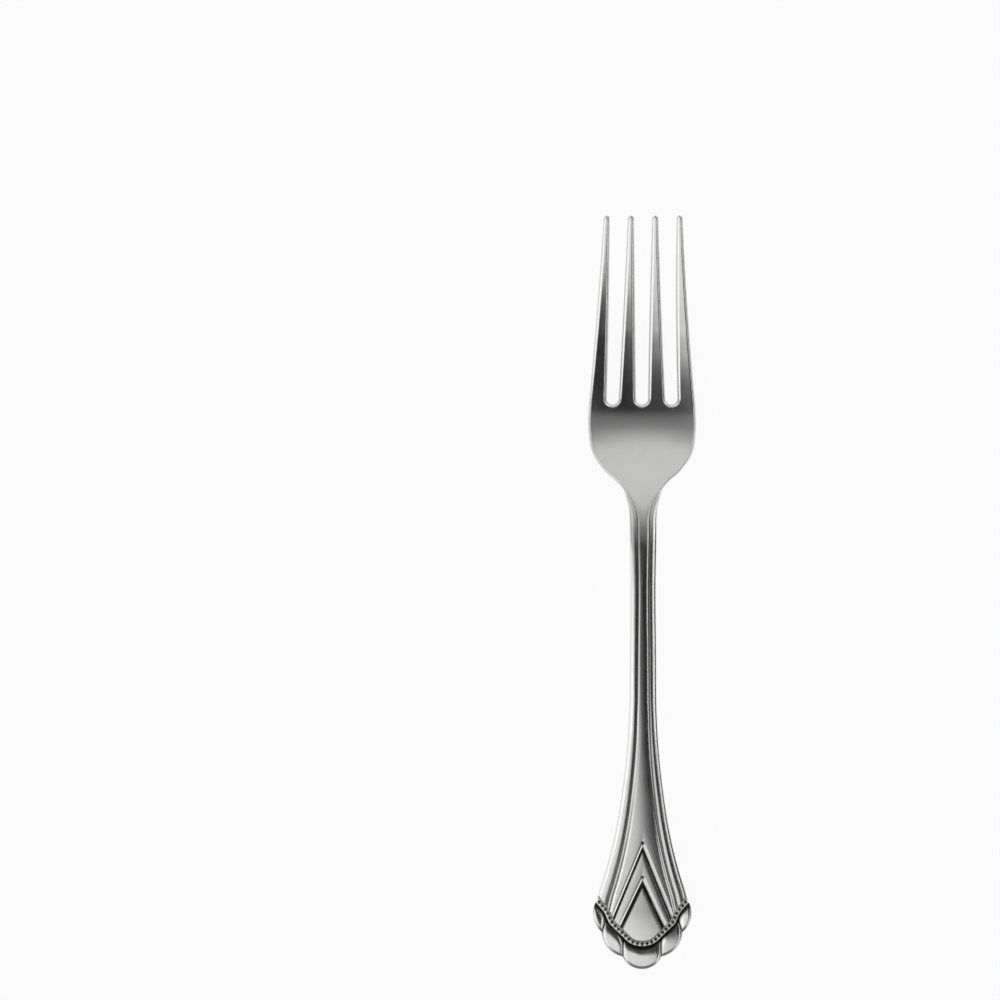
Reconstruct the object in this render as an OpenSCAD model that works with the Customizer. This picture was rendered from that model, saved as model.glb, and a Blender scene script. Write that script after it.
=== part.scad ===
// Pastry fork: one forging of polished steel, divided into its named zones.
// It lies on the table with its tines up. +Y runs to the tine tips, +X to the right and +Z up.
// The origin is on the table, at the centre of the fork's length and width.
// Places along the fork are distances from the end of the handle, written as s.

/* [Overall] */
// Length from the end of the handle to the tine tips
fork_length = 155; // [150:1:170]

/* [Head] */
// Width across the widest part of the head
head_width = 22.3; // [19:0.1:27]
// Width across the four tine tips
tip_span = 16.1; // [14:0.1:19]
// Length of the tines, from the slot ends to the tips
tine_length = 38.5; // [32:0.5:44]
// Width of a tine where the slots end
tine_root_width = 3.7; // [3:0.1:4.5]
// Width of a tine just behind its rounded tip
tine_tip_width = 1.2; // [0.9:0.05:1.8]
// Length of the head from the slot ends back to the narrow end of the shoulders
head_length = 24.5; // [21:0.5:28]
// How much higher the rim of the head lies than its middle
dish_depth = 1.1; // [0.4:0.1:2]

/* [Handle] */
// Width of the stem at its narrowest
stem_width = 5.2; // [4.2:0.1:7]
// Width across the side scallops, the widest part of the handle
end_width = 20.1; // [17:0.1:24]
// Distance of the widest part of the handle from its end
widest_place = 10.3; // [9:0.1:12]
// Length of the flare, from the widest part of the handle to the narrow stem
flare_length = 47.6; // [42:0.2:52]

/* [Side profile] */
// Height of the underside at the crest of the handle
crest_height = 9.6; // [6:0.2:13]
// Height of the underside at the tine tips
tip_height = 10.2; // [6:0.2:14]
// Distance of the crest from the narrow end of the shoulders
crest_place = 6; // [3:0.5:9]
// Length of the flat underside at the tip of the handle's end, on which the fork rests
pad_length = 2.2; // [1.5:0.1:3]
// Thickness of the metal at the end of the handle
end_thickness = 2.0; // [1.6:0.1:2.6]
// Thickness of the metal in the stem
stem_thickness = 3.2; // [2.4:0.1:4]
// Thickness of the metal in the head
head_thickness = 2.0; // [1.5:0.1:2.6]
// Thickness of the metal at the tine tips
tip_thickness = 1.1; // [0.8:0.05:1.4]

/* [Reeding] */
// Width of the rim thread in the stem
rim_width = 0.55; // [0.45:0.01:0.65]
// Width of the broad reed between the rim thread and the inner thread in the stem
reed_width = 1.05; // [0.8:0.05:1.3]
// Width of the inner thread in the stem
thread_width = 0.55; // [0.4:0.01:0.65]
// Width of the rim thread at the wide end of the flare
wide_rim_width = 0.6; // [0.5:0.02:0.75]
// Width of the broad reed at the wide end of the flare
wide_reed_width = 1.85; // [1.4:0.05:2.2]
// Width of the inner thread at the wide end of the flare
wide_thread_width = 0.75; // [0.6:0.05:0.9]
// Depth of the valleys and of the plain field below the threads
reed_depth = 0.22; // [0.1:0.02:0.35]

/* [Chevrons] */
// Distance of the outer chevron's point from the end of the handle
chevron_outer_place = 26.4; // [24:0.2:28]
// Distance of the inner chevron's point from the end of the handle
chevron_inner_place = 19.3; // [17:0.2:21]
// Length of the outer chevron along the handle
chevron_outer_length = 14.6; // [12:0.2:15]
// Length of the inner chevron along the handle
chevron_inner_length = 9.6; // [8:0.2:10]
// Width across the feet of the outer chevron
chevron_outer_span = 11.8; // [10:0.2:12.4]
// Width across the feet of the inner chevron
chevron_inner_span = 9; // [7:0.2:9.4]
// Width of a chevron bar, measured across the handle
chevron_bar = 0.75; // [0.6:0.05:1.2]
// Height of a chevron bar above the plain field
chevron_height = 0.22; // [0.1:0.02:0.4]

/* [Border] */
// Distance of the border's top, where it meets the rim, from the end of the handle
border_top = 14.4; // [13:0.2:16]
// Distance of the lowest bead from the end of the handle
border_low = 5.25; // [4.6:0.05:6]
// Number of beads along the border
bead_count = 27; // [21:2:31]
// Diameter of a bead
bead_diameter = 0.84; // [0.6:0.02:0.9]
// Width of the strip that carries the beads
strip_width = 1.3; // [1.1:0.05:1.6]
// Depth of the strip below the crown of the handle
strip_depth = 0.45; // [0.2:0.05:0.6]
// Height of the scallops' crests above the crown at the end of the handle
scallop_rise = 0.1; // [0:0.05:0.3]
// Radius of the dome of each scallop
dome_radius = 12; // [10:0.5:18]

/* [Hidden] */

// The tines are numbered from left to right in steps of one pitch from the middle
tine_steps = [-1.5, -0.5, 0.5, 1.5];

// Smooth steps between two sizes
function mix(a, b, t) = a + (b - a) * t;
function clamp01(t) = min(max(t, 0), 1);
function ease(t) = let (c = clamp01(t)) c * c * (3 - 2 * c);

// Places along the fork
strip_clear_share = 0.6;
waist_share = 0.6;
slot_end_s = fork_length - tine_length;
shoulder_s = slot_end_s - head_length;
crest_s = shoulder_s - crest_place;
stem_start_s = widest_place + flare_length;
waist_s = mix(stem_start_s, shoulder_s, waist_share);
panel_low_s = border_top + strip_width * strip_clear_share;
panel_top_s = chevron_outer_place + chevron_bar;

// Width across the tines at the slot ends, and how far the outer tines bow in between root and tip
root_span_share = 0.985;
span_bow_share = 0.015;
root_span = head_width * root_span_share;
slot_root_width = (root_span - 4 * tine_root_width) / 3;
slot_radius = slot_root_width / 2;

// Smooth curve through hand-chosen knots, each [share of the way, share of the size]
function slope_at(knots, i) =
    i == 0 || i == len(knots) - 1 ? 0
    : (knots[i + 1][1] - knots[i - 1][1]) / (knots[i + 1][0] - knots[i - 1][0]);
function knot_before(knots, u, i = 0) =
    i >= len(knots) - 2 || u < knots[i + 1][0] ? i : knot_before(knots, u, i + 1);
function hermite(a, b, ma, mb, h, t) =
    a * (1 + 2 * t) * pow(1 - t, 2) + ma * h * t * pow(1 - t, 2)
    + b * t * t * (3 - 2 * t) + mb * h * t * t * (t - 1);
function follow(knots, u) =
    let (v = min(max(u, knots[0][0]), knots[len(knots) - 1][0]), i = knot_before(knots, v),
         h = knots[i + 1][0] - knots[i][0])
    hermite(knots[i][1], knots[i + 1][1], slope_at(knots, i), slope_at(knots, i + 1), h,
            (v - knots[i][0]) / h);

// Half width of the fork at s. The first table runs from the widest part of the handle to the stem,
// and the second from the stem to the head. The stem is narrowest at its waist.
flare_shares = [
    [0, 1], [0.1, 0.885], [0.207, 0.68], [0.307, 0.51], [0.414, 0.365], [0.521, 0.255],
    [0.629, 0.165], [0.729, 0.1], [0.843, 0.05], [1, 0.02]
];
shoulder_shares = [
    [0, 0.02], [0.13, 0.045], [0.21, 0.1], [0.285, 0.17], [0.355, 0.345], [0.42, 0.565],
    [0.49, 0.73], [0.56, 0.86], [0.64, 0.945], [0.75, 0.985], [0.84, 1], [1, 0.985]
];
function half_width(s) =
    s <= stem_start_s
        ? mix(stem_width, end_width, follow(flare_shares, (s - widest_place) / flare_length)) / 2
    : s <= waist_s
        ? mix(stem_width, end_width,
              flare_shares[len(flare_shares) - 1][1] * ease((waist_s - s) / (waist_s - stem_start_s))) / 2
    : s <= shoulder_s
        ? mix(stem_width, head_width,
              shoulder_shares[0][1] * ease((s - waist_s) / (shoulder_s - waist_s))) / 2
    : mix(stem_width, head_width, follow(shoulder_shares, (s - shoulder_s) / head_length)) / 2;
function tine_width(s) = mix(tine_root_width, tine_tip_width, (s - slot_end_s) / tine_length);
function tine_span(s) =
    let (u = (s - slot_end_s) / tine_length)
    mix(root_span, tip_span, u) - root_span * span_bow_share * 4 * u * (1 - u);
function head_half(s) = s <= slot_end_s ? half_width(s) : tine_span(s) / 2;

// The handle's underside is a parabola from the pad to the crest. Past the crest it dives to the belly
// of the head, and the tines sweep up again.
bowl_shares = [
    [0, 1], [0.1, 0.985], [0.2, 0.94], [0.3, 0.855], [0.4, 0.725], [0.5, 0.55],
    [0.6, 0.36], [0.7, 0.195], [0.8, 0.085], [0.9, 0.022], [1, 0]
];
// The last knot lies past the tips and sets the slope there
sweep_shares = [
    [0, 0], [0.1, 0.022], [0.2, 0.073], [0.3, 0.145], [0.4, 0.231], [0.6, 0.441], [0.8, 0.698],
    [1, 1], [1.2, 1.348]
];
function to_crest(s) = (crest_s - s) / (crest_s - pad_length);
function arch(s) = crest_height * (1 - pow(to_crest(s), 2));
function arch_angle(s) = atan(2 * crest_height * to_crest(s) / (crest_s - pad_length));
function bottom_line(s) =
    s <= crest_s ? arch(s)
    : s <= slot_end_s
        ? crest_height * follow(bowl_shares, (s - crest_s) / (slot_end_s - crest_s))
    : tip_height * follow(sweep_shares, (s - slot_end_s) / tine_length);
function under(s) = max(0, bottom_line(s));

// Thickness of the metal at s; the pad is cut off the bottom line
function thickness(s) =
    s <= waist_s
        ? mix(end_thickness, stem_thickness, ease((s - widest_place) / flare_length))
    : s <= slot_end_s
        ? mix(stem_thickness, head_thickness, ease((s - waist_s) / (slot_end_s - waist_s)))
    : mix(head_thickness, tip_thickness, (s - slot_end_s) / tine_length);
function crown(s) = bottom_line(s) + thickness(s);

// The rim of the head lies higher than its middle; the dish runs out at the shoulders and at the tips
dish_start_share = 0.2;
dish_run_share = 0.7;
dish_tip_share = 0.35;
function dish(s) =
    dish_depth
    * ease(((s - shoulder_s) / head_length - dish_start_share) / dish_run_share)
    * mix(1, dish_tip_share, clamp01((s - slot_end_s) / tine_length));
function dish_at(s, x) = dish(s) * pow(2 * x / head_width, 2);

// A closed solid through rings of points, all with the same number of points. The rings run along +Y,
// and each goes clockwise as seen from the first one's side.
module loft(rings) {
    n = len(rings[0]);
    m = len(rings);
    polyhedron(
        points = [for (r = rings) each r],
        faces = concat(
            [[for (j = [0 : n - 1]) j]],
            [for (i = [0 : m - 2]) for (j = [0 : n - 1])
                let (k = (j + 1) % n, a = i * n) each [
                    [a + j, a + n + j, a + n + k],
                    [a + j, a + n + k, a + k]
                ]],
            [[for (j = [n - 1 : -1 : 0]) (m - 1) * n + j]]
        )
    );
}

// Columns across a tine or the head, as shares of the half width, closer together at the edges
column_shares = [-1, -0.94, -0.78, -0.42, 0, 0.42, 0.78, 0.94, 1];
edge_share = 0.42;
function rounding(u) = edge_share + (1 - edge_share) * pow(1 - pow(min(abs(u), 1), 4), 0.5);

// Ring across the head or a tine. Each of xs is a place across the fork, and each of local is its share
// of the way from the middle of its own tine to that tine's side; amount turns from the rounding of the
// whole head to that of the single tine.
function head_ring(s, xs, local, amount) =
    let (half = thickness(s) / 2, middle = under(s) + half,
         lift = [for (j = [0 : len(xs) - 1])
             half * mix(rounding(xs[j] / head_half(s)), rounding(local[j]), amount)],
         last = len(xs) - 1)
    concat(
        [for (j = [0 : last]) [xs[j], s - fork_length / 2, middle + dish_at(s, xs[j]) + lift[j]]],
        [for (j = [last : -1 : 0]) [xs[j], s - fork_length / 2, middle + dish_at(s, xs[j]) - lift[j]]]
    );

// A tine's side swells into the round slot end near its root
function slot_side(s) =
    let (d = s - slot_end_s)
    d >= slot_radius ? 0 : slot_radius - sqrt(max(0, pow(slot_radius, 2) - pow(slot_radius - d, 2)));
root_steps = 5;
shaft_steps = 7;
tip_steps = 4;
last_tip_angle = 86;
tip_round_share = 0.75;
tip_height_share = 0.7;
tip_round = tine_tip_width * tip_round_share;
tine_stations = concat(
    [for (i = [0 : root_steps]) slot_end_s + slot_radius * (1 - cos(90 * i / root_steps))],
    [for (i = [1 : shaft_steps])
        mix(slot_end_s + slot_radius, fork_length - tip_round, i / shaft_steps)],
    [for (i = [1 : tip_steps]) fork_length - tip_round * (1 - sin(last_tip_angle * i / tip_steps))]
);
function tip_factor(s) =
    let (d = s - (fork_length - tip_round))
    d <= 0 ? 1 : sqrt(max(0, 1 - pow(d / tip_round, 2)));
function tine_middle(step, s) = step * (tine_span(s) - tine_width(s)) / 3;
// The outer sides of the two outer tines, past the last step, face no slot
function swell(step, side, s) = abs(step + side) > tine_steps[3] ? 0 : slot_side(s);
function tine_ring(step, s) =
    let (middle = tine_middle(step, s), half = tine_width(s) / 2 * tip_factor(s),
         left = middle - half - swell(step, -0.5, s), right = middle + half + swell(step, 0.5, s),
         amount = ease((s - slot_end_s) / slot_radius),
         full = head_ring(s, [for (u = column_shares) mix(left, right, (u + 1) / 2)],
                          column_shares, amount))
    let (centre = under(s) + thickness(s) / 2 + dish_at(s, middle))
    [for (p = full) [p[0], p[1], centre + (p[2] - centre) * mix(1, tip_factor(s), tip_height_share)]];
module tine(step) {
    loft([for (s = tine_stations) tine_ring(step, s)]);
}

module tine_outer_left() color("silver") tine(tine_steps[0]);
module tine_inner_left() color("gainsboro") tine(tine_steps[1]);
module tine_inner_right() color("silver") tine(tine_steps[2]);
module tine_outer_right() color("gainsboro") tine(tine_steps[3]);

// The head's columns are those of the four tine roots side by side
root_columns = [for (k = [0 : 3]) for (j = [0 : 7])
    (k + (column_shares[j] + 1) / 2) / 2 - 1];
head_columns = concat(root_columns, [1]);
head_steps = 16;
module head() {
    color("lightgray")
        loft([for (i = [0 : head_steps])
            let (s = mix(shoulder_s, slot_end_s, i / head_steps))
            head_ring(s, [for (c = head_columns) c * half_width(s)], head_columns, 0)]);
}

// Reeding across half the handle: for each column its distance in from the edge and its depth. The
// rim thread, the broad reed and the inner thread stand between valleys.
reed_run_share = 0.886;
reed_fit_share = 0.92;
function reed_run(s) = clamp01((s - widest_place) / (flare_length * reed_run_share));
function reed_fit(s) =
    min(1, reed_fit_share * half_width(s)
           / mix(wide_rim_width + wide_reed_width + wide_thread_width,
                 rim_width + reed_width + thread_width, reed_run(s)));
function reed(s, wide, narrow) = reed_fit(s) * mix(wide, narrow, reed_run(s));
function rim_at(s) = reed(s, wide_rim_width, rim_width);
function broad_at(s) = reed(s, wide_reed_width, reed_width);
function thread_at(s) = reed(s, wide_thread_width, thread_width);
edge_drop_share = 0.4;
rim_shares = [[0, 1], [0.25, 0.5], [0.6, 0.12], [0.8, 0.05]];
broad_shares = [0.25, 0.75];
broad_depth_share = 0.4;
thread_shares = [0.3, 0.8];
function reed_columns(s) =
    let (r = rim_at(s), c = broad_at(s), t = thread_at(s), drop = thickness(s) * edge_drop_share)
    concat(
        [for (p = rim_shares) [r * p[0], drop * p[1]]],
        [[r, reed_depth]],
        [for (u = broad_shares) [r + c * u, reed_depth * broad_depth_share]],
        [[r + c, reed_depth]],
        [for (u = thread_shares) [r + c + t * u, 0]],
        [[r + c + t, reed_depth]]
    );
function reed_ring(s) =
    let (w = half_width(s), cols = reed_columns(s), n = len(cols), y = s - fork_length / 2,
         top = crown(s))
    concat(
        [for (c = cols) [c[0] - w, y, top - c[1]]],
        [for (j = [n - 1 : -1 : 0]) [w - cols[j][0], y, top - cols[j][1]]],
        [for (j = [0 : 2]) [w - cols[j][0], y, under(s) + cols[j][1]]],
        [for (j = [2 : -1 : 0]) [cols[j][0] - w, y, under(s) + cols[j][1]]]
    );
module reeded(stations) {
    loft([for (s = stations) reed_ring(s)]);
}
function stretch(from_s, to_s, steps) = [for (i = [0 : steps]) mix(from_s, to_s, i / steps)];

neck_steps = 6;
stem_steps = 6;
flare_steps = 12;
fan_steps = 8;
fan_stations = stretch(panel_low_s, panel_top_s, fan_steps);
flare_stations = stretch(panel_top_s, stem_start_s, flare_steps);
module neck() color("darkgray") reeded(stretch(waist_s, shoulder_s, neck_steps));
module stem() color("silver") reeded(stretch(stem_start_s, waist_s, stem_steps));
module handle_flare() {
    color("lightgray") reeded(concat(fan_stations, [for (i = [1 : flare_steps]) flare_stations[i]]));
}

// The end of the handle is cut from plates that follow the side profile. The layers above it turn at
// the same stations as the flare, so the chevrons stand on the plain field face to face.
low_steps = 5;
end_stations = concat(
    [0], stretch(pad_length, panel_low_s, low_steps), [for (i = [1 : fan_steps]) fan_stations[i]]
);
function at(x, s) = [x, s - fork_length / 2];

// A layer as wide as the handle's end, between two lines in the side profile
module layer(low, high) {
    last = len(end_stations) - 1;
    translate([-end_width / 2 - strip_width, 0, 0])
        rotate([90, 0, 90])
            linear_extrude(end_width + 2 * strip_width)
                polygon(concat(
                    [for (i = [0 : last]) [end_stations[i] - fork_length / 2, low[i]]],
                    [for (i = [last : -1 : 0]) [end_stations[i] - fork_length / 2, high[i]]]
                ));
}
module plate(depth) {
    layer([for (s = end_stations) under(s)], [for (s = end_stations) crown(s) - depth]);
}
module raised(height) {
    layer([for (s = end_stations) crown(s) - reed_depth],
          [for (s = end_stations) crown(s) - reed_depth + height]);
}
module upright(points) {
    linear_extrude(crest_height + stem_thickness) polygon(points);
}

// The border's path on the right, from the lowest bead to the rim: shares of half the end's width,
// and of the way from the lowest bead to the top
border_shares = [
    [0, 0], [0.1, 0.012], [0.19, 0.045], [0.265, 0.1], [0.343, 0.185], [0.547, 0.404],
    [0.62, 0.49], [0.66, 0.575], [0.7, 0.68], [0.745, 0.77], [0.82, 0.87], [0.935, 1.02]
];
border_half = [for (p = border_shares) [p[0] * end_width / 2, mix(border_low, border_top, p[1])]];
border_path = concat(
    [for (i = [len(border_half) - 1 : -1 : 1]) [-border_half[i][0], border_half[i][1]]],
    border_half
);
function unit(v) = v / norm(v);
function side_of(path, i) =
    let (a = path[max(i - 1, 0)], b = path[min(i + 1, len(path) - 1)], d = unit(b - a)) [d[1], -d[0]];
function beside(path, distance) = [for (i = [0 : len(path) - 1]) path[i] + side_of(path, i) * distance];

// All that lies inside the border, out to a line beside its path
module inside_border(distance) {
    edge = beside(border_path, distance);
    far = end_width;
    upright(concat(
        [at(-far, edge[0][1])], [for (p = edge) at(p[0], p[1])], [at(far, edge[len(edge) - 1][1])],
        [at(far, panel_top_s), at(-far, panel_top_s)]
    ));
}

// Scallops meet in notches: shares of half the end's width, and of the distance to the border's top
notch_shares = [[0.398, 0.18], [0.826, 0.535]];
bulge_shares = [0.33, 0.17, 0.18];
notches = [for (n = notch_shares) [n[0] * end_width / 2, n[1] * border_top]];
shoulder_point = [half_width(border_top), border_top];
arc_steps = 8;
// Arc from p to q that bulges to the right of the way by a share of its chord
function arc_points(p, q, share) =
    let (chord = norm(q - p), rise = chord * share, r = (pow(chord / 2, 2) + rise * rise) / (2 * rise),
         d = unit(q - p), out = [d[1], -d[0]], middle = (p + q) / 2 - out * (r - rise),
         half_turn = asin(chord / 2 / r))
    [for (i = [0 : arc_steps])
        let (a = mix(-half_turn, half_turn, i / arc_steps)) middle + r * (out * cos(a) + d * sin(a))];
function flipped(points) = [for (i = [len(points) - 1 : -1 : 0]) [-points[i][0], points[i][1]]];
end_arc = arc_points([-notches[0][0], notches[0][1]], notches[0], bulge_shares[0]);
lower_arc = arc_points(notches[0], notches[1], bulge_shares[1]);
side_arc = arc_points(notches[1], shoulder_point, bulge_shares[2]);

// The plan of the whole end, from its scallops up to the reeding
rim_line = [for (s = stretch(border_top, panel_low_s, low_steps)) [half_width(s), s]];
right_line = concat(
    [for (i = [1 : arc_steps]) lower_arc[i]], [for (i = [1 : arc_steps]) side_arc[i]],
    [for (i = [1 : low_steps]) rim_line[i]]
);
end_outline = concat(flipped(right_line), end_arc, right_line);
module end_plan() {
    upright([for (p = end_outline) at(p[0], p[1])]);
}

// A reed between two distances from the rim, on both sides
module reed_strip(outer, inner) {
    steps = low_steps * 2;
    stations = [for (i = [0 : steps]) mix(panel_low_s, border_low, i / steps)];
    for (side = [-1, 1])
        upright(concat(
            [for (s = stations) at(side * (half_width(s) - outer), s)],
            [for (i = [steps : -1 : 0]) at(side * (half_width(stations[i]) - inner), stations[i])]
        ));
}
module end_panel() {
    rim = rim_at(panel_low_s);
    broad = broad_at(panel_low_s);
    thread = thread_at(panel_low_s);
    color("silver")
        intersection() {
            end_plan();
            inside_border(-strip_width / 2);
            union() {
                plate(reed_depth);
                intersection() {
                    plate(0);
                    union() {
                        reed_strip(0, rim);
                        reed_strip(rim + broad, rim + broad + thread);
                    }
                }
                intersection() {
                    plate(reed_depth * broad_depth_share);
                    reed_strip(rim + broad * broad_shares[0], rim + broad * broad_shares[1]);
                }
            }
        }
}

// The plain field between the inner threads
function field_half(s) = half_width(s) - rim_at(s) - broad_at(s) - thread_at(s);
module field() {
    stations = stretch(border_low, panel_top_s, fan_steps);
    upright(concat(
        [for (s = stations) at(field_half(s), s)],
        [for (i = [fan_steps : -1 : 0]) at(-field_half(stations[i]), stations[i])]
    ));
}

// A bar bent to a point, measured across the handle, standing on the plain field
module chevron(place, long, span) {
    half = span / 2;
    inner = place - chevron_bar * long / half;
    foot = place - long;
    intersection() {
        raised(chevron_height);
        field();
        upright([
            at(0, place), at(half, foot), at(half - chevron_bar, foot),
            at(0, inner), at(chevron_bar - half, foot), at(-half, foot)
        ]);
    }
}
module chevron_outer() {
    color("gainsboro") chevron(chevron_outer_place, chevron_outer_length, chevron_outer_span);
}
module chevron_inner() {
    color("gainsboro") chevron(chevron_inner_place, chevron_inner_length, chevron_inner_span);
}

// Places at equal distances along the border's path
function lengths(path) = [
    for (i = 0, l = 0; i < len(path); l = l + (i < len(path) - 1 ? norm(path[i + 1] - path[i]) : 0),
         i = i + 1) l
];
function along(path, marks, l, i = 0) =
    i >= len(path) - 2 || l < marks[i + 1]
        ? path[i] + (path[i + 1] - path[i]) * (l - marks[i]) / (marks[i + 1] - marks[i])
        : along(path, marks, l, i + 1);
module bead_border() {
    marks = lengths(border_path);
    pitch = marks[len(marks) - 1] / bead_count;
    color("darkgray") {
        intersection() {
            end_plan();
            plate(strip_depth);
            difference() {
                inside_border(strip_width / 2);
                inside_border(-strip_width / 2);
            }
        }
        for (i = [0 : bead_count - 1]) {
            p = along(border_path, marks, (i + 0.5) * pitch);
            translate([p[0], p[1] - fork_length / 2, crown(p[1]) - strip_depth])
                sphere(d = bead_diameter, $fn = 24);
        }
    }
}

// Scallops are parted by a crease at each notch, which leans inwards as it runs up to the border
crease_lean_shares = [0.96, 0.59];
function crease(k) =
    [[notches[k][0], -strip_width], [notches[k][0], notches[k][1]],
     [notches[k][0] * crease_lean_shares[k], border_top + strip_width]];
function turned(points) = [for (i = [len(points) - 1 : -1 : 0]) points[i]];
far_crease = [[end_width, -strip_width], [end_width, border_top + strip_width]];
crest_shares = [[0, 0.25], [0.64, 0.45], [0.88, 0.72]];

// A scallop is the part of the end between two creases, outside the border, under a round dome that
// touches the handle's slope at its crest
module scallop(from_crease, to_crease, crest_share) {
    crest = [crest_share[0] * end_width / 2, crest_share[1] * border_top];
    tilt = arch_angle(crest[1]);
    intersection() {
        difference() {
            end_plan();
            inside_border(strip_width / 2);
        }
        plate(-2 * scallop_rise);
        upright([for (p = concat(from_crease, turned(to_crease))) at(p[0], p[1])]);
        translate([
            crest[0],
            crest[1] - fork_length / 2 + dome_radius * sin(tilt),
            crown(crest[1]) + scallop_rise - dome_radius * cos(tilt)
        ])
            sphere(r = dome_radius, $fn = 96);
    }
}
module lower_scallop() scallop(crease(0), crease(1), crest_shares[1]);
module side_scallop() scallop(crease(1), far_crease, crest_shares[2]);
module scallop_end() {
    color("silver") scallop([for (p = crease(0)) [-p[0], p[1]]], crease(0), crest_shares[0]);
}
module scallop_left() color("lightgray") mirror([1, 0, 0]) lower_scallop();
module scallop_right() color("lightgray") lower_scallop();
module scallop_side_left() color("gainsboro") mirror([1, 0, 0]) side_scallop();
module scallop_side_right() color("gainsboro") side_scallop();

tine_outer_left();
tine_inner_left();
tine_inner_right();
tine_outer_right();
head();
neck();
stem();
handle_flare();
end_panel();
chevron_outer();
chevron_inner();
bead_border();
scallop_end();
scallop_left();
scallop_right();
scallop_side_left();
scallop_side_right();
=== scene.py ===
import math

import bpy
import numpy as np
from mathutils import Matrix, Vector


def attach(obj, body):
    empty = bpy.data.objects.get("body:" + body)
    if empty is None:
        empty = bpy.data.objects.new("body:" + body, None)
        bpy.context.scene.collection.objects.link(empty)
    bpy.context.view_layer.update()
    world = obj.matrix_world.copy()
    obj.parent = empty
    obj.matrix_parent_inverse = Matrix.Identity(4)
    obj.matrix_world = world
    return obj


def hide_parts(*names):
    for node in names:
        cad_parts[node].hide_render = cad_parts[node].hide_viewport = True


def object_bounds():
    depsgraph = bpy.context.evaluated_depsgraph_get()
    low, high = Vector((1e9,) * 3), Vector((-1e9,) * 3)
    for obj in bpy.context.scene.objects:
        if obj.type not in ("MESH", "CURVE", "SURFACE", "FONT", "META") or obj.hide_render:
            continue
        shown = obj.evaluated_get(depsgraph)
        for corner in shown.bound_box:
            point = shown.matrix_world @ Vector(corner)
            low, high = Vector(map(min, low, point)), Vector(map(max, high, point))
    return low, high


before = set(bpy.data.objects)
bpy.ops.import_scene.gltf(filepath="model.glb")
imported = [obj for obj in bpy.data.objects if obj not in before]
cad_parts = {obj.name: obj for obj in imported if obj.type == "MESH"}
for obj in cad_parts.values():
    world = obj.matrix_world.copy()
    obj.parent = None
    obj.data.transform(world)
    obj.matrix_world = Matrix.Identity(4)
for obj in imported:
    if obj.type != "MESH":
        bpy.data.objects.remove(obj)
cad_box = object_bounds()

bl_info = {
    "name": "Pastry fork",
    "version": (1, 0, 0),
    "blender": (4, 5, 0),
    "location": "3D View > Sidebar > Pastry Fork",
    "description": "Builds a polished pastry fork from its sizes and finishes",
    "category": "Add Mesh",
}

MM = 0.001


# Sizes and finishes

def length(name, note, size):
    """A length property. The size is written in millimetres and kept in metres."""
    return bpy.props.FloatProperty(
        name=name, description=note, default=size * MM, min=0.0, unit="LENGTH", precision=5)


def share(name, note, value):
    """A property between 0 and 1."""
    return bpy.props.FloatProperty(
        name=name, description=note, default=value, min=0.0, max=1.0, subtype="FACTOR")


def colour(name, note, value):
    """A linear colour property."""
    return bpy.props.FloatVectorProperty(
        name=name, description=note, default=value, size=3, min=0.0, max=1.0, subtype="COLOR")


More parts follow.
